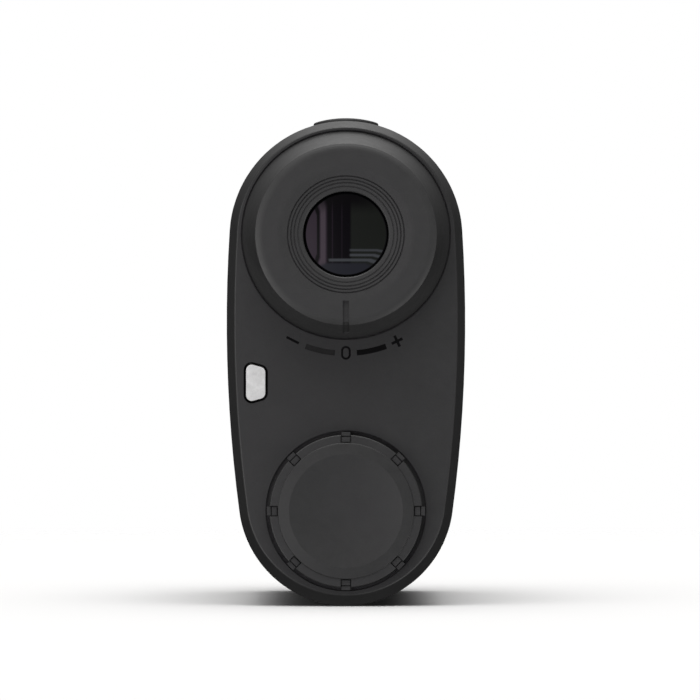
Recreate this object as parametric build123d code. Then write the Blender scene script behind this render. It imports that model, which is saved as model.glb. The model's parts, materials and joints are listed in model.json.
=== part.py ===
from build123d import *
from math import atan2, degrees, hypot, sqrt
import os

# A hand-held laser rangefinder that stands on the flat under its body. Millimetres.
# The eyepiece faces -Y, the objective faces +Y, +Z is up, and the origin is on the surface it
# stands on, under its middle.

# ------------------------------------------------------------------ body outline, seen along Y
TOP_R = 19.65            # arc over the top
BOTTOM_R = 18.13         # arc under the bottom
ARC_GAP = 43.68          # from the centre of one to the centre of the other
FLANK_R = 240.0          # slow bulge of each side
FOOT_HALF = 3.0          # half the width of the outline's flat
PAD_HALF = 4.9           # half the width of the low pad under the sleeve, which it stands on
PAD_H = 0.6
LEAST_FOOT = 0.5
BOTTOM_Z = sqrt(BOTTOM_R**2 - FOOT_HALF**2)
TOP_Z = BOTTOM_Z + ARC_GAP

# ------------------------------------------------------------------ stations along Y
LENGTH = 105.0           # eyecup to front cover
EYECUP_HEIGHT = 7.0      # how far the eyecup stands out of the rear cover
EYE_BACK = -LENGTH / 2
BACK = EYE_BACK + EYECUP_HEIGHT
FRONT = LENGTH / 2
REAR_SEAM = BACK + 3.3   # where the rear cover meets the housing
FRONT_SEAM = FRONT - 4.5
FULL_REAR = -24.0        # the body is at its full size between these two
FULL_FRONT = 26.0

# ------------------------------------------------------------------ insets from the full outline
BACK_INSET = 1.70        # outline of the rear face
BACK_RISE = 0.36         # that outline sits a little higher than the body's
SEAM_INSET = 0.27        # outer end of the rear cover's bevel
FRONT_INSET = 1.5        # outline of the front face
CORE_INSET = 2.2         # outside of the rigid housing, inside of the soft sleeve
CAVITY_INSET = 4.0       # inside of the rigid housing
SPIGOT_INSET = 4.1       # the covers' spigots slide into the housing
SPIGOT_INNER = 5.4
CROWN_R = 405.0          # slight sideways bulge of the rear face
EDGE_R = 0.3             # rounded edge of the rear face
GAP = 0.1                # parting line
GASKET = 0.6
COVER_INSIDE = BACK + 2.4    # inner side of the rear cover's plate
MARGIN = 1.0             # how far a cutter runs past what it cuts

# ------------------------------------------------------------------ eyepiece and diopter ring
EYE_Z = 61.9             # optical axis
EYE_OPENING_R = 7.1
EYECUP_FACE_R = 14.3      # the face is flat out to here, then it rounds off
EYECUP_RIM_R = 15.1       # sharp edge between the face and the slanted side
EYECUP_BASE_R = 17.3
EYECUP_BASE = BACK + 0.45
POCKET_R = 17.52         # pocket in the rear face that the cup's foot turns in
POCKET_DEPTH = 0.85
CUP_INSIDE = EYE_BACK + 1.2
GROOVE_RADII = (7.95, 8.58, 9.12, 9.67)
GROOVE_W = 0.25
INDEX_W = 1.04
INDEX_FROM = 11.0
INDEX_TO = 16.4
INDEX_DEPTH = 0.45
GUIDE_R = 12.2           # outside of the fixed guide, inside of the turning ring
RUNNING = 0.05           # running clearance on the radius
LENS_FIT = 0.02          # location fit of the optical parts
BARREL_R = 10.15
LENS_R = 8.3
RING_TURN = 25.0         # degrees each way
OCULAR_TRAVEL = 0.83     # each way, at the ends of the turn
CAM_Y = -47.6
CAM_PIN_R = 0.6
CAM_PIN_REACH = 13.3
CAM_COUNT = 3
CAM_STEPS = 24           # cuts that make up one slanted groove
GUIDE_REAR = -50.3
GUIDE_FRONT = -38.0
GUIDE_FLANGE_R = 13.8
GUIDE_FLANGE_T = 1.5
CLIP_REAR = -49.95       # groove for the spring clip
CLIP_FRONT = -49.35
CLIP_INNER = 11.6
RING_BORE = 13.05        # wider bore of the ring, over the clip
RING_STEP = -49.25
BARREL_REAR = -50.35
BARREL_FRONT = -30.2
EYE_LENS = (-49.85, -45.4)   # rims of the two lenses
FIELD_LENS = (-38.2, -33.0)
LENS_CLEAR = 7.2
SEAL_Y = -41.6
PIN_ROOT = 8.8           # how far in the cam pins reach

# ------------------------------------------------------------------ diopter scale on the rear face
SCALE_R = 19.67
SCALE_DEPTH = 0.35
PLUS_AT = 25.7           # degrees from straight down
MINUS_AT = -26.8
BAR_FROM = 5.3
BAR_TO = 19.8
BAR_INNER = 19.3
BAR_OUTER = 20.2

# ------------------------------------------------------------------ battery and its cap
BATTERY_Z = 15.9
CELL_R = 7.8             # CR2 cell
CELL_BODY = 26.0
CELL_NUB = 1.0
CELL_NUB_R = 2.9
CELL_BACK = -42.9
CAP_R = 12.7
CAP_UNDER = BACK + 0.3
CAP_TOP = BACK - 2.7
CAP_DISC_R = 9.3
CAP_RIDGE_R = 11.25
CAP_NOTCHES = 8
NOTCH_W = 1.75
NOTCH_FROM = 11.35       # each grip has a pocket in the face, then a tab outside the cap's edge
NOTCH_FLOOR = CAP_TOP + 0.75
TAB_FROM = 12.5
TAB_R = 13.15
TAB_TOP = CAP_TOP + 0.95
GRIP_GROOVE = 0.15       # fine groove round the pocket and in front of the tab
GRIP_GROOVE_FLOOR = CAP_TOP + 1.9
THREAD_R = 10.2          # drawn plain, at its outside
COLLAR_R = 11.6
SEAT_R = 13.4            # pocket that the cap turns in
SEAT_DEPTH = 0.95

# ------------------------------------------------------------------ button, indicator, magnet
BUTTON_Y = -14.0
BUTTON_W = 11.0
BUTTON_L = 20.0
BUTTON_PROUD = 0.69
FLANGE_R = 17.35         # arched flange that keeps the button in
FLANGE_T = 0.8
WELL_FLOOR = 74.8
WINDOW_LEFT = -16.85
WINDOW_RIGHT = -13.22
WINDOW_Z = 37.24
WINDOW_LEFT_H = 7.2
WINDOW_RIGHT_H = 5.2
WINDOW_GAP = 0.2
WINDOW_INNER = BACK + 2.2
PLATE_R = 12.65          # flat steel plate in the right flank
PLATE_T = 1.2
PLATE_Z = 40.5
PLATE_Y = 4.0
PLATE_PROUD = 0.25       # at its upper and lower ends
MAGNET_R = 9.0
MAGNET_T = 1.5

# ------------------------------------------------------------------ optics and electronics
OBJECTIVE_R = 11.5
RECEIVER_Z = 25.0
RECEIVER_R = 11.0
BOX_HALF_X = 9.8
BOX_HALF_Z = 11.5
BOX_WALL = 1.0
BOX_REAR = -28.5
BOX_FRONT = 12.0
CHASSIS_REAR = BACK + 3.9
CHASSIS_FLANGE_T = 1.5
CHASSIS_POST_R = 2.3
BOARD_TOP = 42.4
BOARD_T = 1.2
FRONT_SCREWS = ((13.3, 43.8), (9.8, 10.2))
CHASSIS_SCREWS = ((13.0, 49.5), (6.5, 45.0))
BOARD_SCREWS = ((7.4, -20.0), (7.4, 5.0))
FRONT_SCREW_R = 0.85
SMALL_SCREW_R = 0.8
PANEL_T = 1.0            # tray for the front panel
PANEL_INSET = 3.4
WINDOW_T = 1.5
WINDOW_SEAT = 1.0        # width of the ledge that a front window sits on
FRONT_OPENINGS = ((EYE_Z, OBJECTIVE_R + 0.5), (RECEIVER_Z, RECEIVER_R - 0.4))
FRONT_HEAD_R = 1.6
FRONT_HEAD_UNDER = FRONT - 2.2

NODES = {}


def node(name):
    """Keep what the function below returns as the sub-part called name."""
    def keep(build):
        NODES[name] = build
        return build
    return keep


# ================================================================== shared geometry
def facing_back(y):
    """A plane at y, seen from the eyepiece end: local x is +X and local y is +Z."""
    return Plane(origin=(0, y, 0), x_dir=(1, 0, 0), z_dir=(0, -1, 0))


def flank_centre():
    """Centre of the right flank's arc, inside of which the top and bottom arcs are tangent."""
    to_top = FLANK_R - TOP_R
    to_bottom = FLANK_R - BOTTOM_R
    z = (TOP_Z**2 - BOTTOM_Z**2 - to_top**2 + to_bottom**2) / (2 * ARC_GAP)
    return -sqrt(to_bottom**2 - (z - BOTTOM_Z)**2), z


def outline(inset=0.0, flat=True):
    """The body's outline, moved inwards: two end arcs, two flanks, and the flat underneath.

    When it is not kept flat, the arc under the bottom closes up as the outline moves inwards."""
    fx, fz = flank_centre()
    flank = FLANK_R - inset
    top = TOP_R - inset
    bottom = BOTTOM_R - inset
    foot = sqrt(bottom**2 - (BOTTOM_Z - inset)**2)
    if not flat:
        foot = sqrt(max(LEAST_FOOT**2, bottom**2 - BOTTOM_Z**2))
    floor = BOTTOM_Z - sqrt(bottom**2 - foot**2)

    def on_flank(z_centre):
        reach = hypot(-fx, z_centre - fz)
        return fx + flank * -fx / reach, fz + flank * (z_centre - fz) / reach

    upper = on_flank(TOP_Z)
    lower = on_flank(BOTTOM_Z)
    middle = (fx + flank, fz)
    turn = 0.5 * (atan2(lower[1] - BOTTOM_Z, lower[0]) + atan2(floor - BOTTOM_Z, foot))
    low = Vector(bottom, 0).rotate(Axis.Z, degrees(turn))
    low_mid = (low.X, BOTTOM_Z + low.Y)

    def left(point):
        return -point[0], point[1]

    edges = [
        ThreePointArc(upper, (0, TOP_Z + top), left(upper)),
        ThreePointArc(left(upper), left(middle), left(lower)),
        ThreePointArc(left(lower), left(low_mid), (-foot, floor)),
        Line((-foot, floor), (foot, floor)),
        ThreePointArc((foot, floor), low_mid, lower),
        ThreePointArc(lower, middle, upper),
    ]
    return make_face(edges)


def slab(face, y_rear, y_front):
    """A flat shape in (x, z), made solid between two stations."""
    return extrude(facing_back(y_front) * face, amount=y_front - y_rear, dir=(0, -1, 0))


def rear_inset(y):
    """How far the outline is inset at the rear: a bevel on the cover, then a slow curve to full."""
    if y < REAR_SEAM:
        return SEAM_INSET + (BACK_INSET - SEAM_INSET) * (REAR_SEAM - y) / (REAR_SEAM - BACK)
    return SEAM_INSET * ((FULL_REAR - y) / (FULL_REAR - REAR_SEAM))**2


def rear_rise(y):
    return BACK_RISE * max(0.0, (REAR_SEAM - y) / (REAR_SEAM - BACK))


def front_inset(y):
    return FRONT_INSET * ((y - FULL_FRONT) / (FRONT - FULL_FRONT))**2


def tapered(inset_at, y_from, y_to, sections=5, flat=True):
    """A length of the body whose outline follows inset_at(y)."""
    step = (y_to - y_from) / (sections - 1)
    stations = [y_from + step * i for i in range(sections)]
    return loft([facing_back(y) * Pos(0, rear_rise(y)) * outline(inset_at(y), flat) for y in stations])


def turned(points, z, x=0.0, radii=None):
    """A profile of (radius, y) points turned about a line along Y. radii round its corners."""
    if radii is None:
        wire = Polyline(*points, close=True)
    else:
        wire = FilletPolyline(*points, radius=radii, close=True)
    return Pos(x, 0, z) * revolve(make_face(wire), Axis.Y)


def tube(r_in, r_out, y_from, y_to, z, x=0.0):
    return turned([(r_in, y_from), (r_out, y_from), (r_out, y_to), (r_in, y_to)], z, x)


def rod(r, y_from, y_to, z, x=0.0):
    return slab(Pos(x, z) * Circle(r), y_from, y_to)


def brick(x, y, z):
    """A block given by its low and high x, y and z."""
    size = (x[1] - x[0], y[1] - y[0], z[1] - z[0])
    centre = ((x[0] + x[1]) / 2, (y[0] + y[1]) / 2, (z[0] + z[1]) / 2)
    return Pos(*centre) * Box(*size)


def dome(r, y_edge, y_apex):
    """A lens face seen from the side: an arc from the rim to the axis, its centre on the axis."""
    rise = y_edge - y_apex
    ball = (r**2 + rise**2) / (2 * abs(rise))
    sag = ball - sqrt(ball**2 - (r / 2)**2)
    middle = y_apex + (sag if rise > 0 else -sag)
    return ThreePointArc((r, y_edge), (r / 2, middle), (0, y_apex))


def lens(r, r_clear, rear, front, rear_apex, front_apex):
    """A round glass on the Y axis: flat rims at rear and front, domed or dished inside r_clear."""
    rim = Polyline((r_clear, rear), (r, rear), (r, front), (r_clear, front))
    axis = Line((0, front_apex), (0, rear_apex))
    profile = make_face([dome(r_clear, rear, rear_apex), rim, dome(r_clear, front, front_apex), axis])
    return revolve(profile, Axis.Y)


def upright(r, z_from, z_to, x, y):
    """A cylinder that stands along Z."""
    return Pos(x, y, (z_from + z_to) / 2) * Cylinder(r, z_to - z_from)


def both_sides(places):
    return [(side * x, other) for x, other in places for side in (-1, 1)]


def spigot(y_from, y_to):
    return slab(outline(SPIGOT_INSET) - outline(SPIGOT_INNER), y_from, y_to)


def arched(length, width, r_in, r_out):
    """A stadium seen from above, bent over the top arc between two radii."""
    ends = Pos(0, BUTTON_Y, TOP_Z) * Rot(0, 0, 90) * SlotOverall(length, width)
    column = extrude(ends, amount=TOP_R + 5)
    return column & tube(r_in, r_out, BUTTON_Y - length, BUTTON_Y + length, TOP_Z)


def screw(r, head_r, head_h, length):
    """A plain screw along +Z: the head's underside is at 0, and the shank goes down."""
    head = Pos(0, 0, head_h / 2) * Cylinder(head_r, head_h)
    drive = Pos(0, 0, head_h) * Box(head_r * 1.3, head_r * 0.28, head_h)
    cross = Rot(0, 0, 90) * drive
    return (head - drive - cross) + Pos(0, 0, -length / 2) * Cylinder(r, length)


# ================================================================== housing
@node("main_housing")
def main_housing():
    """Rigid tube that carries everything, with the button's well and the front screw bosses."""
    core = slab(outline(CORE_INSET) - outline(CAVITY_INSET), REAR_SEAM + GASKET, FRONT_SEAM - GASKET)
    well_box = brick((-8.4, 8.4), (BUTTON_Y - 12.8, BUTTON_Y + 12.8), (WELL_FLOOR - 1.2, 79))
    core += well_box & slab(outline(CORE_INSET), BUTTON_Y - 20, BUTTON_Y + 20)
    for x, z in both_sides(FRONT_SCREWS):
        boss = rod(3.0, 38, FRONT_SEAM - GASKET, z, x) - rod(FRONT_SCREW_R, 40, FRONT_SEAM, z, x)
        core += boss & slab(outline(CAVITY_INSET - 0.5), 30, FRONT_SEAM)
    core -= arched(BUTTON_L + 3.2, BUTTON_W + 3.2, 15.88, TOP_R)
    lower = Pos(0, BUTTON_Y, WELL_FLOOR) * Rot(0, 0, 90) * SlotOverall(BUTTON_L + 0.8, BUTTON_W + 0.8)
    core -= extrude(lower, amount=TOP_R)
    core -= on_flank_plate() * Pos(0, 0, -PLATE_T - MAGNET_T / 2) * Cylinder(MAGNET_R + GAP, MAGNET_T)
    return core


@node("grip_sleeve")
def grip_sleeve():
    """Soft outer sleeve. Its outside is the shape that the hand holds."""
    body = tapered(rear_inset, REAR_SEAM + GAP, FULL_REAR)
    body += slab(outline(), FULL_REAR, FULL_FRONT)
    body += tapered(front_inset, FULL_FRONT, FRONT_SEAM - GAP)
    body += brick((-PAD_HALF, PAD_HALF), (FULL_REAR, FULL_FRONT), (0, PAD_H))
    body -= slab(outline(CORE_INSET), BACK, FRONT)
    body -= arched(BUTTON_L + 0.3, BUTTON_W + 0.3, 5, TOP_R + 5)
    body -= on_flank_plate() * Pos(0, 0, MARGIN - PLATE_T / 2) * Cylinder(PLATE_R + GAP, PLATE_T + 2 * MARGIN)
    body -= on_flank_plate() * Pos(0, 0, -PLATE_T) * Cylinder(MAGNET_R + GAP, 2 * MAGNET_T)
    return body


@node("rear_cover")
def rear_cover():
    """The rear face: it carries the eyepiece, the battery collar, the scale and the indicator."""
    cover = tapered(rear_inset, BACK, REAR_SEAM, 3, flat=False)
    crown = Pos(0, BACK + CROWN_R, 0) * Cylinder(CROWN_R, 400)
    cover = cover & crown
    rim = [e for e in cover.edges() if e.center().Y < BACK + 1.0 and e.bounding_box().size.Y < 1.0]
    cover = fillet(rim, EDGE_R)
    cover -= slab(outline(SPIGOT_INNER), COVER_INSIDE, REAR_SEAM + MARGIN)
    lip = spigot(REAR_SEAM, REAR_SEAM + 3.5)
    lip -= brick((-20, -10), (REAR_SEAM, 0), (32.5, 42.0))
    cover += lip
    cover += rod(COLLAR_R, COVER_INSIDE, REAR_SEAM + 3.7, BATTERY_Z)
    for x, z in both_sides(CHASSIS_SCREWS):
        cover += rod(CHASSIS_POST_R, COVER_INSIDE, CHASSIS_REAR, z, x)
        cover -= rod(SMALL_SCREW_R, BACK + 1.4, CHASSIS_REAR + GAP, z, x)
    cover -= rod(POCKET_R, BACK - MARGIN, BACK + POCKET_DEPTH, EYE_Z)
    cover -= rod(GUIDE_R, BACK - MARGIN, COVER_INSIDE + MARGIN, EYE_Z)
    cover -= rod(SEAT_R, BACK - MARGIN, BACK + SEAT_DEPTH, BATTERY_Z)
    cover -= rod(THREAD_R + RUNNING, BACK - MARGIN, 0, BATTERY_Z)
    cover -= slab(window_shape(WINDOW_GAP), BACK - MARGIN, WINDOW_INNER + GAP)
    cover -= brick((-15.7, -13.3), (BACK + MARGIN, REAR_SEAM + MARGIN), (34.9, 39.5))
    cover -= slab(dark_marks() + bar(-1), BACK - MARGIN, BACK + SCALE_DEPTH)
    return cover


@node("rear_gasket")
def rear_gasket():
    return slab(outline(CORE_INSET) - outline(CAVITY_INSET), REAR_SEAM, REAR_SEAM + GASKET)


@node("front_gasket")
def front_gasket():
    return slab(outline(CORE_INSET) - outline(CAVITY_INSET), FRONT_SEAM - GASKET, FRONT_SEAM)


@node("front_cover")
def front_cover():
    """Closes the front: seats for both windows, and a shallow tray for the front panel."""
    cover = tapered(front_inset, FRONT_SEAM, FRONT, 3)
    cover = fillet([e for e in cover.edges() if e.center().Y > FRONT - 0.01], 0.9)
    cover -= slab(outline(SPIGOT_INNER), FRONT_SEAM - MARGIN, FRONT_SEAM + 0.6)
    cover += spigot(FRONT_SEAM - 3.5, FRONT_SEAM)
    cover -= slab(outline(PANEL_INSET), FRONT - PANEL_T, FRONT + MARGIN)
    for z, r in FRONT_OPENINGS:
        cover -= rod(r, FRONT_SEAM - MARGIN, FRONT, z)
        cover -= rod(r + WINDOW_SEAT, FRONT - PANEL_T - WINDOW_T, FRONT, z)
    for x, z in both_sides(FRONT_SCREWS):
        cover -= rod(3.2, FRONT_SEAM - 4, FRONT_SEAM, z, x) & slab(outline(SPIGOT_INNER - 1.4), -60, 60)
        cover -= rod(FRONT_SCREW_R + 0.05, FRONT_SEAM - 4, FRONT, z, x)
        cover -= rod(FRONT_HEAD_R + GAP, FRONT_HEAD_UNDER, FRONT, z, x)
    return cover


@node("front_panel")
def front_panel():
    """Glossy panel that hides the front screws, with a chamfered opening for each window."""
    panel = slab(outline(PANEL_INSET + 0.05), FRONT - PANEL_T, FRONT - GAP)
    for z, opening in FRONT_OPENINGS:
        r = opening + 0.2
        under = FRONT - PANEL_T - MARGIN
        panel -= turned([(0, under), (r, under), (r, FRONT - 0.6), (r + 0.6, FRONT), (0, FRONT)], z)
    return panel


@node("front_screws")
def front_screws():
    place = Rot(-90, 0, 0)
    one = screw(FRONT_SCREW_R, FRONT_HEAD_R, 1.0, 7.0)
    return [Pos(x, FRONT_HEAD_UNDER, z) * place * one for x, z in both_sides(FRONT_SCREWS)]


@node("objective_window")
def objective_window():
    z, opening = FRONT_OPENINGS[0]
    return rod(opening + WINDOW_SEAT - 0.05, FRONT - PANEL_T - WINDOW_T, FRONT - PANEL_T, z)


@node("receiver_window")
def receiver_window():
    z, opening = FRONT_OPENINGS[1]
    return rod(opening + WINDOW_SEAT - 0.05, FRONT - PANEL_T - WINDOW_T, FRONT - PANEL_T, z)


# ================================================================== diopter scale
def at_scale(angle):
    """Where a mark lies on the scale, turned to stand on the circle; 0 is straight down."""
    return Pos(0, EYE_Z) * Rot(0, 0, angle) * Pos(0, -SCALE_R)


def bar(side):
    """The curved bar on one side of the zero."""
    ring = Circle(BAR_OUTER) - Circle(BAR_INNER)
    far = BAR_OUTER * 2
    edge = [Vector(0, -far).rotate(Axis.Z, side * a) for a in (BAR_FROM, BAR_TO)]
    wedge = make_face(Polyline((0, 0), (edge[0].X, edge[0].Y), (edge[1].X, edge[1].Y), close=True))
    return Pos(0, EYE_Z) * (ring & wedge)


def dark_marks():
    """Zero, plus, minus and the bar on the plus side."""
    zero = Rot(0, 0, 90) * (SlotOverall(2.28, 1.6) - SlotOverall(1.62, 0.94))
    plus = Rectangle(2.0, 0.45) + Rectangle(0.45, 2.0)
    minus = Rectangle(2.3, 0.4)
    return at_scale(0) * zero + at_scale(PLUS_AT) * plus + at_scale(MINUS_AT) * minus + bar(1)


@node("scale_marks")
def scale_marks():
    return slab(dark_marks(), BACK + 0.13, BACK + SCALE_DEPTH)


@node("scale_minus_bar")
def scale_minus_bar():
    return slab(bar(-1), BACK + 0.13, BACK + SCALE_DEPTH)


# ================================================================== indicator
def window_shape(grow=0.0):
    """The light's window: a rounded trapezoid, taller on the side nearer the edge."""
    slope = (WINDOW_LEFT_H - WINDOW_RIGHT_H) / 2 / (WINDOW_RIGHT - WINDOW_LEFT)
    left = WINDOW_LEFT - grow
    right = WINDOW_RIGHT + grow
    left_h = WINDOW_LEFT_H / 2 + grow * (1 + slope)
    right_h = WINDOW_RIGHT_H / 2 + grow * (1 - slope)
    points = [
        (left, WINDOW_Z - left_h),
        (right, WINDOW_Z - right_h),
        (right, WINDOW_Z + right_h),
        (left, WINDOW_Z + left_h),
    ]
    return make_face(FilletPolyline(*points, radius=1.15 + grow, close=True))


@node("indicator_window")
def indicator_window():
    """Milky light guide: a bevelled window, and a stem that leads the light to it."""
    window = slab(window_shape(), BACK + 0.05, WINDOW_INNER)
    front = [e for e in window.edges() if e.center().Y < BACK + 0.06]
    window = chamfer(front, 0.22)
    return window + brick((-15.6, -13.4), (WINDOW_INNER, BACK + 4.5), (35.0, 39.4))


@node("indicator_led")
def indicator_led():
    base = brick((-15.3, -13.7), (BACK + 5.0, BACK + 5.4), (36.4, 38.1))
    lens = brick((-15.0, -14.0), (BACK + 4.6, BACK + 5.0), (36.7, 37.8))
    return base + lens


@node("indicator_board")
def indicator_board():
    return brick((-15.3, -11.5), (BACK + 5.4, BACK + 6.2), (33.0, 41.0))


# ================================================================== side plate and magnet
def on_flank_plate():
    """The middle of the side plate's outer face, with +Z pointing out of the body."""
    fx, fz = flank_centre()
    chord = []
    for z in (PLATE_Z - PLATE_R, PLATE_Z + PLATE_R):
        chord.append(Vector(fx + sqrt(FLANK_R**2 - (z - fz)**2), 0, z))
    along = (chord[1] - chord[0]).normalized()
    out = Vector(0, 1, 0).cross(along)
    middle = (chord[0] + chord[1]) * 0.5 + out * PLATE_PROUD
    return Plane(origin=(middle.X, PLATE_Y, middle.Z), x_dir=(0, 1, 0), z_dir=out).location


@node("magnet_plate")
def magnet_plate():
    """Flat steel plate that sticks to a cart's bar through the magnet behind it."""
    plate = Pos(0, 0, -PLATE_T / 2) * Cylinder(PLATE_R, PLATE_T)
    plate = chamfer(plate.edges().sort_by(Axis.Z)[-1], 0.15)
    return on_flank_plate() * plate


@node("side_magnet")
def side_magnet():
    return on_flank_plate() * Pos(0, 0, -PLATE_T - MAGNET_T / 2) * Cylinder(MAGNET_R, MAGNET_T)


# ================================================================== eyepiece: the fixed guide
@node("eyepiece_guide")
def eyepiece_guide():
    """Fixed tube that the ring turns on and the ocular slides in, with three straight slots."""
    bore = BARREL_R + RUNNING
    outside = GUIDE_R - RUNNING
    flange = COVER_INSIDE + GUIDE_FLANGE_T
    guide = turned([
        (bore, GUIDE_REAR), (outside, GUIDE_REAR), (outside, CLIP_REAR), (CLIP_INNER, CLIP_REAR),
        (CLIP_INNER, CLIP_FRONT), (outside, CLIP_FRONT), (outside, COVER_INSIDE),
        (GUIDE_FLANGE_R, COVER_INSIDE), (GUIDE_FLANGE_R, flange), (GUIDE_R, flange),
        (GUIDE_R, GUIDE_FRONT), (bore, GUIDE_FRONT)], EYE_Z)
    slot_r = CAM_PIN_R + RUNNING
    for turn in cam_angles():
        for y in (CAM_Y - OCULAR_TRAVEL, CAM_Y + OCULAR_TRAVEL):
            guide -= cam_place(turn, y) * Pos(0, 0, 11) * Cylinder(slot_r, 6)
        guide -= cam_place(turn, CAM_Y) * Pos(0, 0, 11) * Box(2 * slot_r, 2 * OCULAR_TRAVEL, 6)
    return guide


def cam_angles():
    return [360 / CAM_COUNT * i for i in range(CAM_COUNT)]


def cam_place(turn, y):
    """On the optical axis at y, with local +Z pointing radially outwards."""
    return Pos(0, y, EYE_Z) * Rot(0, turn, 0)


@node("guide_clip")
def guide_clip():
    """Open spring clip that keeps the ring on the guide."""
    ring = tube(CLIP_INNER + 0.05, RING_BORE - GAP, CLIP_REAR + 0.02, CLIP_FRONT - 0.02, EYE_Z)
    return ring - brick((-2.5, 2.5), (GUIDE_REAR, RING_STEP), (EYE_Z - RING_BORE, EYE_Z))


# ================================================================== eyepiece: what turns
@node("eyecup")
def eyecup():
    """Soft cup with four fine rings round the opening, and the groove that points at the scale."""
    cup = turned([
        (EYE_OPENING_R, EYE_BACK + 0.35), (11.2, EYE_BACK), (EYECUP_FACE_R, EYE_BACK + 0.08),
        (EYECUP_RIM_R, EYE_BACK + 0.4), (EYECUP_BASE_R, EYECUP_BASE), (16.2, EYECUP_BASE),
        (14.0, CUP_INSIDE), (EYE_OPENING_R, CUP_INSIDE)],
        EYE_Z, radii=[0.25, 6, 2.5, 0.15, 0.15, 0, 0, 0])
    for r in GROOVE_RADII:
        cup -= tube(r - GROOVE_W / 2, r + GROOVE_W / 2, EYE_BACK - 1, EYE_BACK + 0.42, EYE_Z)
    floor = [
        (INDEX_FROM, EYE_BACK - 1), (INDEX_FROM, EYE_BACK + INDEX_DEPTH),
        (14.5, EYE_BACK + INDEX_DEPTH + 0.15), (15.0, EYE_BACK + 1.0), (16.15, EYE_BACK + 5.0),
        (INDEX_TO, EYE_BACK + 5.0), (INDEX_TO + 3, EYE_BACK + 4.4), (INDEX_TO + 3, EYE_BACK - 1)]
    side = make_face(Polyline(*[(y, EYE_Z - r) for r, y in floor], close=True))
    cut = extrude(Plane.YZ * side, amount=INDEX_W / 2, both=True)
    return cup - cut


@node("diopter_ring")
def diopter_ring():
    """Rigid ring under the eyecup. Three slanted grooves in its bore drive the cam pins."""
    ring = turned([
        (GUIDE_R, EYECUP_BASE), (16.2, EYECUP_BASE), (14.0, CUP_INSIDE), (RING_BORE, CUP_INSIDE),
        (RING_BORE, RING_STEP), (GUIDE_R, RING_STEP)], EYE_Z)
    depth = CAM_PIN_REACH + 0.1 - GUIDE_R
    cutter = Pos(0, 0, GUIDE_R) * Cylinder(CAM_PIN_R + 0.09, 2 * depth)
    for turn in cam_angles():
        cuts = []
        for i in range(CAM_STEPS + 1):
            share = 2 * i / CAM_STEPS - 1
            here = cam_place(turn + share * (RING_TURN + 0.3), CAM_Y - share * OCULAR_TRAVEL)
            cuts.append(here * cutter)
        ring -= cuts
    return ring


# ================================================================== eyepiece: what slides
@node("ocular_barrel")
def ocular_barrel():
    seal_bed = BARREL_R - 1.05
    stop = LENS_CLEAR - 0.2
    barrel = turned([
        (LENS_R, BARREL_REAR), (BARREL_R, BARREL_REAR), (BARREL_R, SEAL_Y - 0.7),
        (seal_bed, SEAL_Y - 0.7), (seal_bed, SEAL_Y + 0.7), (BARREL_R, SEAL_Y + 0.7),
        (BARREL_R, BARREL_FRONT), (stop, BARREL_FRONT), (stop, FIELD_LENS[1]),
        (LENS_R, FIELD_LENS[1])], EYE_Z)
    for turn in cam_angles():
        barrel -= cam_place(turn, CAM_Y) * Pos(0, 0, PIN_ROOT + MARGIN) * Cylinder(CAM_PIN_R, 2 * MARGIN)
    return barrel


@node("cam_pins")
def cam_pins():
    length = CAM_PIN_REACH - PIN_ROOT
    pin = Pos(0, 0, PIN_ROOT + length / 2) * Cylinder(CAM_PIN_R, length)
    return [cam_place(turn, CAM_Y) * pin for turn in cam_angles()]


@node("ocular_retainer")
def ocular_retainer():
    ring = tube(LENS_CLEAR + GAP, LENS_R, BARREL_REAR, EYE_LENS[0], EYE_Z)
    for side in (-1, 1):
        slot = brick((side * 7.9 - 0.9, side * 7.9 + 0.9), (-51, BARREL_REAR + 0.3), (-0.6, 0.6))
        ring -= Pos(0, 0, EYE_Z) * slot
    return ring


@node("eye_lens")
def eye_lens():
    """First lens of the ocular, bulging towards the eye."""
    return Pos(0, 0, EYE_Z) * lens(LENS_R, LENS_CLEAR, *EYE_LENS, EYE_LENS[0] - 0.45, -46.1)


@node("lens_spacer")
def lens_spacer():
    return tube(LENS_CLEAR, LENS_R, EYE_LENS[1], FIELD_LENS[0], EYE_Z)


@node("field_lens")
def field_lens():
    return Pos(0, 0, EYE_Z) * lens(LENS_R, LENS_CLEAR - 0.3, *FIELD_LENS, -39.2, -32.6)


@node("ocular_seal")
def ocular_seal():
    ring = Pos(0, SEAL_Y, 0) * Rot(90, 0, 0) * Torus(BARREL_R - 0.5, 0.5)
    return Pos(0, 0, EYE_Z) * ring


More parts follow.
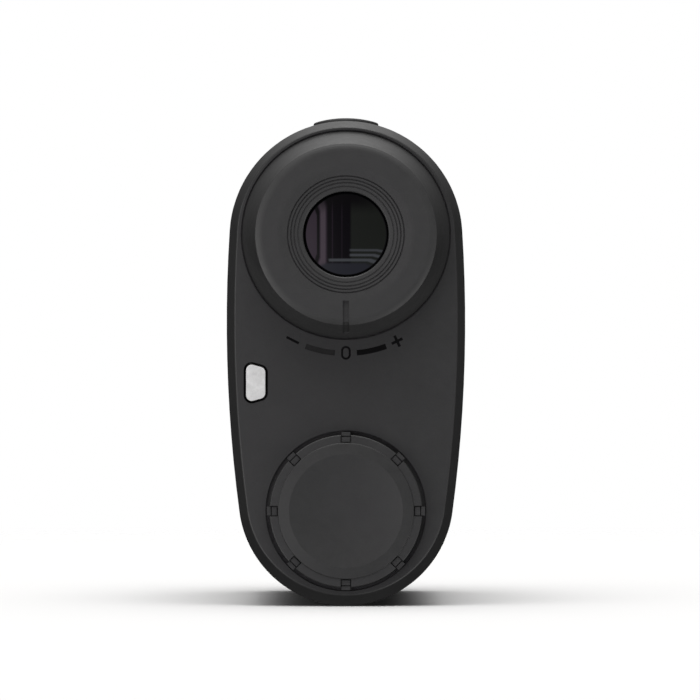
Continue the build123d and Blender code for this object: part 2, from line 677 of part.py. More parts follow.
# ================================================================== optical chassis
@node("optical_chassis")
def optical_chassis():
    """Frame that lines up the display, the prisms and the objective, and carries the board."""
    plate = Pos(0, EYE_Z) * Circle(14.2) + Pos(0, 49.6) * RectangleRounded(28.6, 13.4, 2.5)
    frame = slab(plate & outline(SPIGOT_INNER + GAP), CHASSIS_REAR, CHASSIS_REAR + CHASSIS_FLANGE_T)
    frame += rod(13.4, CHASSIS_REAR, BOX_REAR + 1.2, EYE_Z)
    frame += brick((-BOX_HALF_X, BOX_HALF_X), (BOX_REAR, BOX_FRONT), (EYE_Z - BOX_HALF_Z, EYE_Z + BOX_HALF_Z))
    frame += rod(14.0, BOX_FRONT, 42.0, EYE_Z)
    frame -= rod(GUIDE_R + LENS_FIT, CHASSIS_REAR - MARGIN, BOX_REAR, EYE_Z)
    inner_x = BOX_HALF_X - BOX_WALL
    inner_z = BOX_HALF_Z - BOX_WALL
    frame -= brick((-inner_x, inner_x), (BOX_REAR + 1.2, BOX_FRONT), (EYE_Z - inner_z, EYE_Z + inner_z))
    frame -= brick((-6, 6), (BOX_REAR - 1, BOX_REAR + 2), (EYE_Z - 5, EYE_Z + 5))
    frame -= rod(8.6, BOX_FRONT - 1, BOX_FRONT + 2, EYE_Z)
    frame -= rod(OBJECTIVE_R + 1.2, BOX_FRONT + 1.2, 43, EYE_Z)
    frame -= brick((-4.6, 4.6), (-25.4, -24.2), (45, 52))
    frame -= upright(3.2, 45, 52, 0, 6)
    for x, y in both_sides(BOARD_SCREWS):
        frame += upright(2.2, BOARD_TOP, EYE_Z - BOX_HALF_Z + 0.5, x, y)
        frame -= upright(SMALL_SCREW_R, BOARD_TOP - MARGIN, BOARD_TOP + 5, x, y)
    for x, z in both_sides(CHASSIS_SCREWS):
        frame -= rod(SMALL_SCREW_R + GAP, CHASSIS_REAR - MARGIN, CHASSIS_REAR + CHASSIS_FLANGE_T, z, x)
    return frame


@node("chassis_screws")
def chassis_screws():
    one = screw(SMALL_SCREW_R, 1.35, 1.0, 3.6)
    front = CHASSIS_REAR + CHASSIS_FLANGE_T
    return [Pos(x, front, z) * Rot(-90, 0, 0) * one for x, z in both_sides(CHASSIS_SCREWS)]


@node("lcd_holder")
def lcd_holder():
    rear = BOX_REAR + 1.2
    holder = brick((-8.7, 8.7), (rear, rear + 1.2), (EYE_Z - 8, EYE_Z + 8))
    return holder - brick((-5.5, 5.5), (rear - 1, rear + 2), (EYE_Z - 4.5, EYE_Z + 4.5))


@node("lcd_display")
def lcd_display():
    rear = BOX_REAR + 2.4
    return brick((-6.5, 6.5), (rear, rear + 1.0), (EYE_Z - 5.5, EYE_Z + 5.5))


@node("display_flex")
def display_flex():
    """Flat cable from the display, down through the chassis, to the main board."""
    strip = brick((-4, 4), (-25.1, -24.95), (BOARD_TOP, EYE_Z - 3.5))
    return strip + brick((-4, 4), (-25.1, -22.5), (BOARD_TOP, BOARD_TOP + 0.15))


def prism(points):
    """A prism across the beam, from its side outline in (y, z) about the optical axis."""
    side = make_face(Polyline(*[(y, EYE_Z + z) for y, z in points], close=True))
    return extrude(Plane.YZ * side, amount=8.4, both=True)


@node("wedge_prism")
def wedge_prism():
    return prism([(9.5, -8.2), (9.5, 8.2), (2.6, 9.6), (-5.6, -9.0)])


@node("roof_prism")
def roof_prism():
    return prism([(-16.5, -8.2), (-6.1, -9.6), (2.1, 9.0), (-6.0, 9.9), (-16.5, 8.2)])


@node("prism_clip")
def prism_clip():
    """Thin sprung strip that presses the prisms down."""
    top = EYE_Z + BOX_HALF_Z - BOX_WALL
    path = [(-15, top), (-15, top - 0.3), (-7, top - 0.45), (3, top - 0.45), (8, top - 0.3), (8, top)]
    side = make_face(Polyline(*path, close=True))
    return extrude(Plane.YZ * side, amount=3, both=True)


@node("objective_cell")
def objective_cell():
    return turned([
        (10.8, 28), (OBJECTIVE_R + 1.2, 28), (OBJECTIVE_R + 1.2, 42), (OBJECTIVE_R, 42),
        (OBJECTIVE_R, 33.5), (10.8, 33.5)], EYE_Z)


@node("objective_lens")
def objective_lens():
    """Cemented pair drawn as one glass."""
    return Pos(0, 0, EYE_Z) * lens(OBJECTIVE_R, 10.8, 33.5, 40.0, 32.9, 41.6)


@node("objective_retainer")
def objective_retainer():
    return tube(10.8, OBJECTIVE_R, 40.0, 41.6, EYE_Z)


# ================================================================== laser and receiver
@node("laser_holder")
def laser_holder():
    block = brick((-5, 5), (1, 11), (BOARD_TOP + 1.2, EYE_Z - BOX_HALF_Z))
    return block - upright(2.8, BOARD_TOP, BOARD_TOP + 3.0, 0, 6) - upright(2.3, BOARD_TOP, 51, 0, 6)


@node("laser_diode")
def laser_diode():
    """Can with its three leads, pointing up into the prism."""
    can = upright(2.8, BOARD_TOP + 1.8, BOARD_TOP + 3.0, 0, 6)
    can += upright(2.3, BOARD_TOP + 3.0, BOARD_TOP + 5.3, 0, 6)
    for x, y in ((-1.2, 5.4), (1.2, 5.4), (0, 7.2)):
        can += upright(0.22, BOARD_TOP, BOARD_TOP + 1.9, x, y)
    return can


@node("receiver_tube")
def receiver_tube():
    """Light-tight cone from the receiving lens to the detector."""
    return turned([
        (4.3, 12.0), (5.5, 12.0), (5.5, 13.2), (12.2, 40.0), (12.2, 48.5), (RECEIVER_R, 48.5),
        (RECEIVER_R, 41.5), (4.3, 15.0)], RECEIVER_Z)


@node("receiver_lens")
def receiver_lens():
    return Pos(0, 0, RECEIVER_Z) * lens(RECEIVER_R - LENS_FIT, 10.4, 42.4, 45.7, 42.1, 47.6)


@node("apd_detector")
def apd_detector():
    return rod(2.7, 12.0, 14.5, RECEIVER_Z) + rod(3.1, 12.0, 12.6, RECEIVER_Z)


@node("apd_board")
def apd_board():
    return brick((-8, 8), (10.8, 12.0), (RECEIVER_Z - 8, RECEIVER_Z + 8))


# ================================================================== electronics
@node("main_board")
def main_board():
    board = brick((-13.5, 13.5), (-34, 30), (BOARD_TOP - BOARD_T, BOARD_TOP))
    board = fillet(board.edges().filter_by(Axis.Z), 1.5)
    for x, y in both_sides(BOARD_SCREWS):
        board -= upright(0.9, 40, 44, x, y)
    return board


@node("board_screws")
def board_screws():
    one = screw(SMALL_SCREW_R, 1.5, 0.9, 5.0)
    under = BOARD_TOP - BOARD_T
    return [Pos(x, y, under) * Rot(180, 0, 0) * one for x, y in both_sides(BOARD_SCREWS)]


@node("shield_can")
def shield_can():
    can = brick((-8, 8), (14, 29), (BOARD_TOP, BOARD_TOP + 2.6))
    return can - brick((-7.8, 7.8), (14.2, 28.8), (BOARD_TOP - 1, BOARD_TOP + 2.4))


@node("board_parts")
def board_parts():
    """Processor and memory under the board, the laser's capacitors and coils on top."""
    under = BOARD_TOP - BOARD_T
    parts = [
        brick((-5, 5), (-16, -6), (under - 1.2, under)),
        brick((-11.5, -6.5), (12, 19), (under - 1.0, under)),
    ]
    for y in (-18, -12, -6):
        parts.append(upright(2.2, BOARD_TOP, BOARD_TOP + 5.5, 0, y))
    for y in (-14, -9):
        parts.append(brick((9.0, 12.4), (y, y + 3.6), (BOARD_TOP, BOARD_TOP + 2.2)))
    return parts


# ================================================================== battery
@node("battery_tube")
def battery_tube():
    return turned([
        (CELL_R + 0.35, -38.5), (COLLAR_R, -38.5), (COLLAR_R, -37.3), (9.4, -37.3), (9.4, -12.0),
        (1.5, -12.0), (1.5, -13.2), (CELL_R + 0.35, -13.2)], BATTERY_Z)


@node("battery_contact")
def battery_contact():
    """Sprung leaf that meets the cell's nub."""
    base = [(-13.2, 11.4), (-13.2, 19.8), (-13.5, 19.8), (-13.5, 11.4)]
    arm = [(-13.5, 19.8), (-13.5, 19.2), (-15.6, 16.6), (-15.6, 14.6), (-15.9, 14.4), (-15.9, 17.0)]
    side = make_face(Polyline(*base, close=True)) + make_face(Polyline(*arm, close=True))
    return extrude(Plane.YZ * side, amount=2, both=True)


@node("battery_cell")
def battery_cell():
    front = CELL_BACK + CELL_BODY
    cell = turned([
        (0, CELL_BACK), (CELL_R, CELL_BACK), (CELL_R, front), (0, front)],
        BATTERY_Z, radii=[0, 0.4, 0.6, 0])
    return cell + rod(CELL_NUB_R, front - 0.1, front + CELL_NUB, BATTERY_Z)


@node("cap_contact")
def cap_contact():
    """Sprung disc in the cap. It stays still while the cap turns over it."""
    disc = tube(2.0, 8.4, -43.45, -43.05, BATTERY_Z)
    return disc + tube(2.0, 3.2, -43.05, CELL_BACK, BATTERY_Z)


@node("battery_cap")
def battery_cap():
    """Screw cap: dished middle, bevelled shoulder, and eight notched grips round its edge."""
    cap = turned([
        (0, CAP_TOP + 0.75), (CAP_DISC_R, CAP_TOP), (CAP_RIDGE_R, CAP_TOP + 0.3),
        (CAP_RIDGE_R + 0.1, CAP_TOP + 0.5), (CAP_R, CAP_TOP + 0.55), (CAP_R, CAP_UNDER),
        (THREAD_R, CAP_UNDER), (THREAD_R, -39.2), (8.9, -39.2), (8.9, -44.6), (0, -44.6)],
        BATTERY_Z, radii=[0, 0.5, 0.1, 0.05, 0.2, 0, 0, 0.3, 0, 0, 0])
    dish_r = CAP_DISC_R - 0.25
    dish = 0.62
    ball_r = (dish_r**2 + dish**2) / (2 * dish)
    cap += rod(dish_r, CAP_TOP + 0.1, CAP_TOP + 1.5, BATTERY_Z)
    cap -= Pos(0, CAP_TOP + 0.09 + dish - ball_r, BATTERY_Z) * Sphere(ball_r)
    cap += rod(3.4, -44.7, -43.5, BATTERY_Z)
    half = NOTCH_W / 2
    inner = half - GRIP_GROOVE
    above = CAP_TOP - MARGIN
    pocket_to = TAB_FROM - GRIP_GROOVE
    for i in range(CAP_NOTCHES):
        turn = Pos(0, 0, BATTERY_Z) * Rot(0, 360 / CAP_NOTCHES * i, 0)
        cap -= turn * brick((-half, half), (above, GRIP_GROOVE_FLOOR), (NOTCH_FROM, TAB_R))
        cap += turn * brick((-inner, inner), (NOTCH_FLOOR, CAP_UNDER), (NOTCH_FROM + GRIP_GROOVE, pocket_to))
        cap += turn * brick((-inner, inner), (TAB_TOP, CAP_UNDER - 0.4), (TAB_FROM, TAB_R))
    return cap


@node("cap_seal")
def cap_seal():
    return tube(THREAD_R + 0.2, 12.2, CAP_UNDER, CAP_UNDER + 0.6, BATTERY_Z)


# ================================================================== range button
@node("range_button")
def range_button():
    top = arched(BUTTON_L, BUTTON_W, FLANGE_R - FLANGE_T, TOP_R + BUTTON_PROUD)
    rim = [e for e in top.edges() if e.center().Z > TOP_Z + TOP_R - 1.6]
    top = fillet(rim, 0.4)
    return top + arched(BUTTON_L + 2.4, BUTTON_W + 2.4, FLANGE_R - FLANGE_T, FLANGE_R)


@node("button_boot")
def button_boot():
    return arched(BUTTON_L + 3.0, BUTTON_W + 3.0, 15.9, FLANGE_R - FLANGE_T - 0.05)


@node("switch_plunger")
def switch_plunger():
    return upright(1.15, WELL_FLOOR + 1.55, WELL_FLOOR + 2.6, 0, BUTTON_Y)


@node("range_switch")
def range_switch():
    floor = WELL_FLOOR + 0.8
    body = brick((-2.6, 2.6), (BUTTON_Y - 2.6, BUTTON_Y + 2.6), (floor, floor + 1.4))
    return body - upright(1.2, floor + 0.1, floor + 2, 0, BUTTON_Y)


@node("switch_board")
def switch_board():
    return brick((-4.7, 4.7), (BUTTON_Y - 7, BUTTON_Y + 7), (WELL_FLOOR, WELL_FLOOR + 0.8))


# ================================================================== write the files
def as_compound(made):
    """The solids of one sub-part, as one labelled compound."""
    parts = made if isinstance(made, list) else [made]
    solids = [s for part in parts for s in part.solids()]
    return Compound(children=solids)


def main():
    os.makedirs("parts", exist_ok=True)
    for name, build in NODES.items():
        shape = as_compound(build())
        shape.label = name
        export_step(shape, f"parts/{name}.step")


main()
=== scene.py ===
import bpy
import json
import math
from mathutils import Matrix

# A hand-held laser rangefinder that stands on a pale floor, seen from its eyepiece end.
# Metres, in the frame of the CAD model: -Y is towards the eye, +Z is up.
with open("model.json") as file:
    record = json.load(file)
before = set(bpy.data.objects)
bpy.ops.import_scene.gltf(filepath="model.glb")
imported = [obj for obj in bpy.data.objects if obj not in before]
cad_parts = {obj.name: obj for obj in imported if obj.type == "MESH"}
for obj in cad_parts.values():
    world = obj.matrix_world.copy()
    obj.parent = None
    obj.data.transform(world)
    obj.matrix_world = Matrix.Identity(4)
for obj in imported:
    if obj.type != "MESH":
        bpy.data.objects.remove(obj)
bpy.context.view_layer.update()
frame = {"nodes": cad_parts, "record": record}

MM = 0.001
nodes = frame["nodes"]

# ------------------------------------------------------------------ camera and floor
CAMERA_PLACE = (0.68 * MM, -1.5455, 42.7 * MM)
CAMERA_LENS = 463.0     # long, so that the body hides behind its eyepiece end
SENSOR_WIDTH = 36.0
SEES_TO = 20.0
FLOOR_COLOR = (0.83, 0.83, 0.83, 1.0)
FLOOR_FULL = 0.42       # the floor fades into the background between these two distances
FLOOR_END = 0.60

# ------------------------------------------------------------------ light
SHARPNESS = 14.0        # of each soft patch of light; higher is narrower
PATCHES = (             # elevation, azimuth (0 is the eyepiece side, + is the right), radiance
    (-65, 0, 0.12),
    (-35, -50, 0.22),
    (-35, 50, 2.20),
    (-12, -45, 2.65),
    (-12, 80, 0.27),
    (52, -25, 0.80),
    (52, 25, 0.43),
    (72, 0, 5.80),
    (20, 180, 0.31),
    (60, 180, 1.26),
    (60, 150, 0.94),
    (60, -150, 0.67),
)
LIGHT_TINT = (1.0, 0.995, 0.99, 1)

# ------------------------------------------------------------------ what the eye lens mirrors
# Directions are sines: the first axis runs to the right, the second upwards.
ROOM_LEFT = (0.52, 0.36, 0.53, 1)
ROOM_DARK = (0.035, 0.02, 0.04, 1)       # the wall between the left and right ends
ROOM_RIGHT = (0.19, 0.21, 0.18, 1)
LEFT_TO_DARK = (-0.120, -0.105)
DARK_TO_RIGHT = (0.020, 0.036)
ROOM_COLUMNS = (        # from, to, softness, colour
    (-0.170, -0.154, 0.003, (0.02, 0.01, 0.02, 1)),
    (-0.148, -0.120, 0.003, (1.00, 0.76, 0.98, 1)),
    (-0.083, -0.076, 0.002, (0.22, 0.14, 0.23, 1)),
    (-0.027, -0.021, 0.002, (0.17, 0.11, 0.18, 1)),
)
ROOM_BANDS = (          # low, high, left end, level
    (-0.086, -0.073, 0.015, 0.85),
    (-0.115, -0.101, 0.015, 1.0),
    (-0.145, -0.129, -0.108, 1.0),
)
BAND_COLOR = (0.90, 0.96, 1.08)
BAND_SOFT = 0.004
BAND_FADE = 0.015       # how quickly a band's left end comes up
ROOM_FLOOR = (0.30, 0.31, 0.42, 1)
ROOM_CEILING = (0.03, 0.02, 0.03, 1)
WALL_TO_FLOOR = (-0.145, -0.165)
WALL_TO_CEILING = (0.12, 0.23)
ROOM_EDGE = 0.966       # cosine of the half-angle of the room, in front of the eyepiece
ROOM_SOFT = 0.01

# ------------------------------------------------------------------ materials; grains are in mm
CLOUD = 6.0             # blotches in the colour of a moulded part
SPECK = 1.6             # specks in its colour, as a multiple of its grain
GLOSS_SPOT = 1.3        # blotches in its gloss
MOULDED = {             # colour, roughness, grain, its depth, spread of shade, specular level
    "black_plastic": ((0.036, 0.036, 0.0365), 0.40, 0.15, 0.006, 0.10, 0.45),
    "cup_rubber": ((0.042, 0.042, 0.0425), 0.40, 0.13, 0.005, 0.08, 0.45),
    "cap_plastic": ((0.036, 0.036, 0.0365), 0.40, 0.15, 0.006, 0.10, 0.45),
    "button_rubber": ((0.034, 0.034, 0.0345), 0.6, 0.13, 0.005, 0.08, 0.5),
    "gloss_black": ((0.006, 0.006, 0.007), 0.09, 1.2, 0.003, 0.2, 0.5),
    "mark_black": ((0.0015, 0.0015, 0.0015), 0.3, 0.2, 0.003, 0.2, 0.15),
    "mark_grey": ((0.014, 0.014, 0.014), 0.5, 0.2, 0.004, 0.2, 0.3),
    "inner_plastic": ((0.045, 0.045, 0.046), 0.6, 0.2, 0.006, 0.12, 0.5),
    "plate_steel": ((0.026, 0.026, 0.027), 0.42, 0.35, 0.008, 0.12, 0.5),
    "seal_rubber": ((0.018, 0.018, 0.018), 0.7, 0.2, 0.01, 0.15, 0.5),
    "chip_black": ((0.025, 0.025, 0.027), 0.55, 0.08, 0.004, 0.10, 0.5),
    "soft_touch": ((0.013, 0.013, 0.0135), 0.66, 0.14, 0.007, 0.12, 0.12),
}
METALS = {              # colour, roughness, stretch of the tool lines, their width, their depth
    "black_aluminium": ((0.05, 0.05, 0.053), 0.42, (1.0, 0.08, 1.0), 0.12, 0.004),
    "steel": ((0.62, 0.62, 0.63), 0.30, (1.0, 1.0, 0.2), 0.1, 0.004),
    "spring_steel": ((0.55, 0.55, 0.56), 0.26, (0.1, 1.0, 1.0), 0.12, 0.004),
    "magnet_nickel": ((0.72, 0.70, 0.66), 0.18, (1.0, 1.0, 1.0), 0.6, 0.003),
    "gold_contact": ((0.83, 0.62, 0.27), 0.24, (1.0, 1.0, 0.15), 0.12, 0.004),
    "can_metal": ((0.66, 0.66, 0.66), 0.28, (1.0, 0.3, 1.0), 0.5, 0.006),
}
GLASSES = {             # colour, thickness of the coating in nanometres
    "coated_glass": ((0.86, 0.84, 0.93, 1), 480.0),
    "prism_glass": ((0.90, 0.95, 0.93, 1), 0.0),
    "lcd_glass": ((0.36, 0.40, 0.38, 1), 0.0),
}
GLASS_IOR = 1.52
EYE_GLASS_IOR = 1.55
FILM_IOR = 1.38
RIB_WIDTH = 0.30        # fine lengthwise ribs in the sleeve's coat
RIB_DEPTH = 0.012
GLOW_DEPTH = 0.9        # how far light spreads inside the milky window
WRAP_SPLIT = (-24.0, -23.6)     # where the cell's wrap changes colour

DOMED = ("eye_lens", "field_lens", "objective_lens", "receiver_lens")
TIP_GAP = 0.02          # corners of a dome's tip that are nearer than this are one
WINDOW_FACE = 0.8       # the window's faces that look less towards the eye than this are its edge, painted dark as the shade of its gap


# ------------------------------------------------------------------ node helpers
class Nodes:
    """A node tree, with short calls for the nodes that are used again and again."""

    def __init__(self, tree):
        self.nodes = tree.nodes
        self.links = tree.links
        self.nodes.clear()

    def put(self, socket, value):
        """Links a socket's value, or sets it if it is a plain number or colour."""
        if isinstance(value, bpy.types.NodeSocket):
            self.links.new(value, socket)
        else:
            socket.default_value = value

    def math(self, kind, a, b=0.0, c=0.0):
        n = self.nodes.new("ShaderNodeMath")
        n.operation = kind
        for socket, value in zip(n.inputs, (a, b, c)):
            self.put(socket, value)
        return n.outputs[0]

    def vector(self, kind, a, b=(0.0, 0.0, 0.0)):
        n = self.nodes.new("ShaderNodeVectorMath")
        n.operation = kind
        for socket, value in zip(n.inputs, (a, b)):
            self.put(socket, value)
        return n.outputs["Value"]

    def axes(self, vector):
        """The x, y and z of a vector."""
        n = self.nodes.new("ShaderNodeSeparateXYZ")
        self.put(n.inputs[0], vector)
        return n.outputs

    def between(self, value, low, high, from_low=0.3, from_high=0.7, kind="LINEAR"):
        """A value spread over low to high."""
        n = self.nodes.new("ShaderNodeMapRange")
        n.interpolation_type = kind
        self.put(n.inputs["Value"], value)
        n.inputs["From Min"].default_value = from_low
        n.inputs["From Max"].default_value = from_high
        n.inputs["To Min"].default_value = low
        n.inputs["To Max"].default_value = high
        return n.outputs["Result"]

    def mix(self, share, a, b):
        """A colour between a and b."""
        n = self.nodes.new("ShaderNodeMix")
        n.data_type = "RGBA"
        self.put(n.inputs["Factor"], share)
        for socket, value in zip([s for s in n.inputs if s.type == "RGBA"], (a, b)):
            self.put(socket, value)
        return [s for s in n.outputs if s.type == "RGBA"][0]

    def join(self, kind, *values):
        """A shader node with its inputs filled in order."""
        n = self.nodes.new("ShaderNode" + kind)
        for socket, value in zip(n.inputs, values):
            self.put(socket, value)
        return n.outputs[0]


class Tree(Nodes):
    """A material with one shader, and the patterns that its colour, gloss and relief come from."""

    def __init__(self, name):
        self.material = bpy.data.materials.new(name)
        self.material.use_nodes = True
        super().__init__(self.material.node_tree)
        self.out = self.nodes.new("ShaderNodeOutputMaterial")
        self.shader = self.nodes.new("ShaderNodeBsdfPrincipled")
        self.links.new(self.shader.outputs[0], self.out.inputs["Surface"])
        self.where = self.nodes.new("ShaderNodeTexCoord").outputs["Object"]
        self.bumped = None

    def set(self, **values):
        """Sets or links inputs of the shader; base_color means its input Base Color."""
        for key, value in values.items():
            name = key.replace("_", " ").title().replace("Ior", "IOR")
            self.put(self.shader.inputs[name], value)

    def stretch(self, factors):
        """The coordinates, scaled by a factor along each axis."""
        n = self.nodes.new("ShaderNodeMapping")
        self.put(n.inputs["Vector"], self.where)
        n.inputs["Scale"].default_value = factors
        return n.outputs[0]

    def noise(self, size, detail=2.0, rough=0.5, where=None):
        """Noise whose blotches are about this size in mm; it runs from 0 to 1."""
        n = self.nodes.new("ShaderNodeTexNoise")
        self.put(n.inputs["Vector"], where or self.where)
        n.inputs["Scale"].default_value = 1.0 / (size * MM)
        n.inputs["Detail"].default_value = detail
        n.inputs["Roughness"].default_value = rough
        return n.outputs["Fac"]

    def cells(self, size):
        """The distance to the edges of irregular cells of about this size in mm."""
        n = self.nodes.new("ShaderNodeTexVoronoi")
        n.feature = "DISTANCE_TO_EDGE"
        self.put(n.inputs["Vector"], self.where)
        n.inputs["Scale"].default_value = 1.0 / (size * MM)
        return n.outputs["Distance"]

    def bump(self, height, depth):
        """Adds relief of this depth in mm to the shader's normal."""
        n = self.nodes.new("ShaderNodeBump")
        n.inputs["Distance"].default_value = depth * MM
        self.put(n.inputs["Height"], height)
        if self.bumped is not None:
            self.links.new(self.bumped, n.inputs["Normal"])
        self.bumped = n.outputs["Normal"]
        self.links.new(self.bumped, self.shader.inputs["Normal"])


def tinted(color, factor):
    return tuple(min(1.0, c * factor) for c in color[:3]) + (1.0,)


# ------------------------------------------------------------------ finishes
def moulded(name):
    """Moulded plastic or rubber: spark-eroded grain, slight cloudiness in colour and gloss."""
    color, rough, grain, depth, spread, specular = MOULDED[name]
    t = Tree(name)
    cloud = t.between(t.noise(CLOUD, 3.0), -spread, spread)
    speck = t.between(t.noise(grain * SPECK, 1.0), -spread, spread)
    shade = t.math("ADD", t.math("ADD", cloud, speck), 0.5)
    t.set(base_color=t.mix(shade, tinted(color, 1 - 2 * spread), tinted(color, 1 + 2 * spread)))
    t.set(roughness=t.between(t.noise(GLOSS_SPOT, 2.0), rough - 0.04, rough + 0.05))
    t.set(specular_ior_level=specular)
    t.bump(t.noise(grain, 2.0, 0.6), depth)
    return t


def metal(name):
    """Turned, drawn or plated metal, with fine tool lines along the axis with the least stretch."""
    color, rough, brushed, lines, depth = METALS[name]
    t = Tree(name)
    marks = t.noise(lines, 3.0, 0.6, t.stretch(brushed))
    t.set(base_color=t.mix(marks, tinted(color, 0.86), tinted(color, 1.08)))
    t.set(metallic=1.0)
    t.set(roughness=t.between(marks, rough - 0.06, rough + 0.08))
    t.bump(marks, depth)
    return t


def glass(name):
    """Polished optical glass with a trace of dust, and a coating on some."""
    color, film = GLASSES[name]
    t = Tree(name)
    dust = t.noise(0.35, 4.0, 0.7)
    t.set(base_color=t.mix(t.between(dust, 0.0, 1.0, 0.55, 0.75), color, tinted(color, 0.9)))
    t.set(roughness=t.between(dust, 0.012, 0.05, 0.5, 0.8))
    t.shader.inputs["IOR"].default_value = GLASS_IOR
    t.shader.inputs["Transmission Weight"].default_value = 1.0
    if film:
        t.shader.inputs["Thin Film Thickness"].default_value = film
        t.shader.inputs["Thin Film IOR"].default_value = FILM_IOR
    return t


def soft_touch(name):
    """Sleeve: a soft-touch coat with very fine lengthwise ribs."""
    t = moulded(name)
    t.bump(t.noise(RIB_WIDTH, 1.0, 0.5, t.stretch((1.0, 0.05, 1.0))), RIB_DEPTH)
    return t


def milky(name):
    """Milky window over the light, faintly cloudy."""
    t = Tree(name)
    cloud = t.between(t.noise(1.1, 3.0, 0.55), 0.0, 1.0)
    t.set(base_color=t.mix(cloud, (0.76, 0.76, 0.76, 1), (0.90, 0.90, 0.90, 1)))
    t.set(roughness=t.between(t.noise(0.5), 0.22, 0.34))
    t.shader.inputs["Subsurface Weight"].default_value = 0.6
    t.shader.inputs["Subsurface Radius"].default_value = (GLOW_DEPTH, GLOW_DEPTH, GLOW_DEPTH)
    t.shader.inputs["Subsurface Scale"].default_value = MM
    t.bump(t.noise(0.2), 0.002)
    return t


def circuit(name):
    """Solder mask over copper tracks."""
    t = Tree(name)
    track = t.between(t.cells(1.4), 1.0, 0.0, 0.05, 0.12)
    t.set(base_color=t.mix(track, (0.012, 0.10, 0.045, 1), (0.03, 0.22, 0.09, 1)))
    t.set(roughness=t.between(t.noise(0.8), 0.22, 0.38))
    t.bump(track, 0.03)
    return t


def wrap(name):
    """Shrink wrap round the cell: two tones that meet in a soft band."""
    t = Tree(name)
    split_from, split_to = (y * MM for y in WRAP_SPLIT)
    tone = t.between(t.axes(t.where)["Y"], 0.0, 1.0, split_from, split_to)
    wrinkle = t.noise(1.5, 3.0, 0.5, t.stretch((1.0, 0.2, 1.0)))
    t.set(base_color=t.mix(tone, (0.06, 0.065, 0.075, 1), (0.42, 0.34, 0.16, 1)))
    t.set(roughness=t.between(wrinkle, 0.18, 0.30))
    t.bump(wrinkle, 0.02)
    return t


def flex(name):
    """Amber film with copper lines in it."""
    t = Tree(name)
    lines = t.noise(0.5, 1.0, 0.5, t.stretch((1.0, 0.02, 0.02)))
    shade = t.between(lines, 0.0, 1.0)
    t.set(base_color=t.mix(shade, (0.40, 0.16, 0.02, 1), (0.62, 0.33, 0.07, 1)))
    t.set(roughness=t.between(lines, 0.25, 0.4))
    t.bump(lines, 0.02)
    return t


def led(name):
    """Pale resin of the indicator's light."""
    t = Tree(name)
    shade = t.between(t.noise(0.3), 0, 1)
    t.set(base_color=t.mix(shade, (0.85, 0.80, 0.55, 1), (0.9, 0.88, 0.78, 1)))
    t.set(roughness=t.between(t.noise(0.2), 0.2, 0.35))
    return t


def eye_glass():
    """The lens nearest the eye: polished and opaque; its near-black colour is painted shade, the
    dark of the barrel behind it painted into the glass.
    """
    t = Tree("eye_glass")
    dust = t.noise(0.4, 4.0, 0.7)
    shade = t.between(dust, 0.0, 1.0, 0.6, 0.8)
    # painted shade: the dark inside of the barrel, seen through clear glass, set as the lens's own
    # colour
    t.set(base_color=t.mix(shade, (0.002, 0.002, 0.0025, 1), (0.006, 0.006, 0.007, 1)))
    t.set(roughness=t.between(dust, 0.015, 0.04, 0.5, 0.8))
    t.shader.inputs["IOR"].default_value = EYE_GLASS_IOR
    return t


# ------------------------------------------------------------------ the object
looks = {name: moulded for name in MOULDED}
looks.update({name: metal for name in METALS})
looks.update({name: glass for name in GLASSES})
looks.update(soft_touch=soft_touch, milky_lens=milky, board_green=circuit)
looks.update(led_white=led, flex_amber=flex, cell_wrap=wrap)


def dress(node, material):
    node.data.materials.clear()
    node.data.materials.append(material)


made = {slot: look(slot).material for slot, look in looks.items()}
for entry in frame["record"]["subparts"]:
    dress(nodes[entry["node"]], made[entry["material_slot"]])
dress(nodes["eye_lens"], eye_glass().material)

# the tips of the domed faces are closed and their shading evened out
for name in DOMED:
    nodes[name].modifiers.new("close_tip", "WELD").merge_threshold = TIP_GAP * MM
    nodes[name].modifiers.new("even_normals", "WEIGHTED_NORMAL").keep_sharp = True

# the window's edge faces are painted near-black: painted shade of the gap where the window sits in
# the cover
window = nodes["indicator_window"].data
window.materials.append(made["mark_black"])
for face in window.polygons:
    if -face.normal.y < WINDOW_FACE:
        face.material_index = 1


# ------------------------------------------------------------------ studio
def look_on():
    """The camera, level, looking along +Y at the eyepiece end."""
    camera = bpy.data.objects.new("camera", bpy.data.cameras.new("camera"))
    camera.data.sensor_width = SENSOR_WIDTH
    camera.data.lens = CAMERA_LENS
    camera.data.clip_end = SEES_TO
    camera.location = CAMERA_PLACE
    camera.rotation_euler = (math.radians(90), 0, 0)
    bpy.context.scene.collection.objects.link(camera)
    bpy.context.scene.camera = camera


def floor():
    """Pale floor. Far from the object it fades into the white background."""
    t = Tree("floor")
    t.set(base_color=FLOOR_COLOR, roughness=0.9, specular_ior_level=0.0)
    away = t.vector("LENGTH", t.where)
    clear = t.nodes.new("ShaderNodeBsdfTransparent").outputs[0]
    share = t.between(away, 0.0, 1.0, FLOOR_FULL, FLOOR_END)
    t.put(t.out.inputs["Surface"], t.join("MixShader", share, t.shader.outputs[0], clear))
    side = FLOOR_END * 1.1
    mesh = bpy.data.meshes.new("floor")
    corners = [(-side, -side, 0), (side, -side, 0), (side, side, 0), (-side, side, 0)]
    mesh.from_pydata(corners, [], [(0, 1, 2, 3)])
    mesh.materials.append(t.material)
    obj = bpy.data.objects.new("floor", mesh)
    bpy.context.scene.collection.objects.link(obj)
    obj.visible_diffuse = False
    obj.visible_glossy = False
    obj.visible_shadow = False


def patches(w, towards):
    """The strength of the soft patches of light, added up."""
    total = 0.0
    for elevation, azimuth, level in PATCHES:
        up, round_z = math.radians(elevation), math.radians(azimuth)
        across = math.cos(up)
        centre = (math.sin(round_z) * across, -math.cos(round_z) * across, math.sin(up))
        near = w.vector("DOT_PRODUCT", towards, centre)
        fall = w.math("MULTIPLY_ADD", near, SHARPNESS, -SHARPNESS)
        total = w.math("MULTIPLY_ADD", w.math("EXPONENT", fall), level, total)
    return total


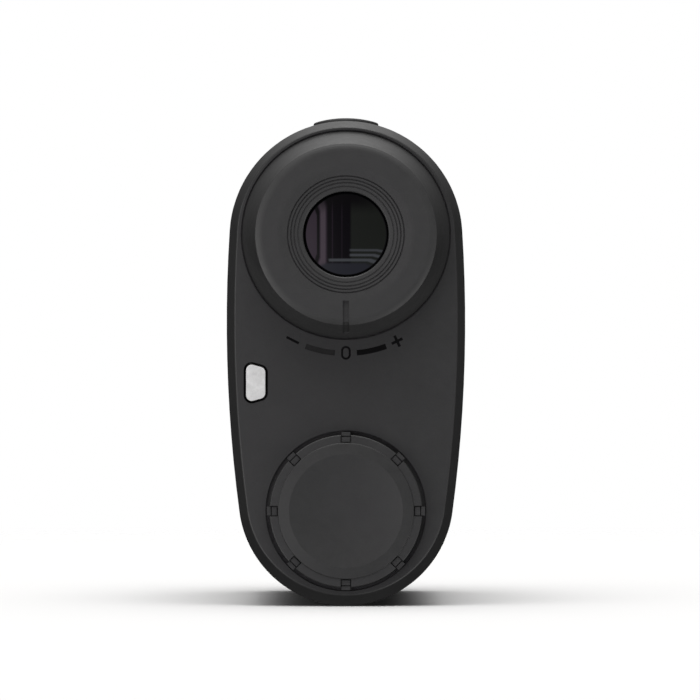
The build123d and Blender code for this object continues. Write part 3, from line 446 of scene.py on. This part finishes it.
def room(w, towards):
    """The colours of a dim room in front of the eyepiece, with a few lit bands in it."""
    side, depth, height = w.axes(towards)

    def ramp(value, low, high, to_low=0.0, to_high=1.0):
        return w.between(value, to_low, to_high, low, high, "SMOOTHSTEP")

    def band(value, low, high, soft):
        rise = ramp(value, low - soft, low + soft)
        return w.math("MULTIPLY", rise, ramp(value, high - soft, high + soft, 1.0, 0.0))

    color = w.mix(ramp(side, *LEFT_TO_DARK), ROOM_LEFT, ROOM_DARK)
    for low, high, soft, column in ROOM_COLUMNS:
        color = w.mix(band(side, low, high, soft), color, column)
    color = w.mix(ramp(side, *DARK_TO_RIGHT), color, ROOM_RIGHT)
    for low, high, left_end, level in ROOM_BANDS:
        reach = ramp(side, left_end, left_end + BAND_FADE)
        lit = w.math("MULTIPLY", reach, band(height, low, high, BAND_SOFT))
        color = w.mix(lit, color, tuple(c * level for c in BAND_COLOR) + (1,))
    color = w.mix(ramp(height, *WALL_TO_FLOOR), color, ROOM_FLOOR)
    color = w.mix(ramp(height, *WALL_TO_CEILING), color, ROOM_CEILING)
    ahead = w.math("MULTIPLY", depth, -1.0)
    inside = ramp(ahead, ROOM_EDGE - ROOM_SOFT, ROOM_EDGE + ROOM_SOFT)
    return w.mix(inside, (0, 0, 0, 1), color)


def studio_world():
    """White where the camera looks past the object. The object is lit by the patches, and its
    polished lens mirrors the room."""
    world = bpy.data.worlds.new("studio")
    bpy.context.scene.world = world
    world.use_nodes = True
    w = Nodes(world.node_tree)
    towards = w.nodes.new("ShaderNodeTexCoord").outputs["Generated"]
    light = w.join("Background", LIGHT_TINT, patches(w, towards))
    picture = w.join("Background", room(w, towards), 1.0)
    both = w.join("AddShader", light, picture)
    white = w.join("Background", (1, 1, 1, 1), 1.0)
    to_camera = w.nodes.new("ShaderNodeLightPath").outputs["Is Camera Ray"]
    out = w.nodes.new("ShaderNodeOutputWorld")
    w.put(out.inputs["Surface"], w.join("MixShader", to_camera, both, white))
    bpy.context.scene.view_settings.view_transform = "Standard"


look_on()
floor()
studio_world()
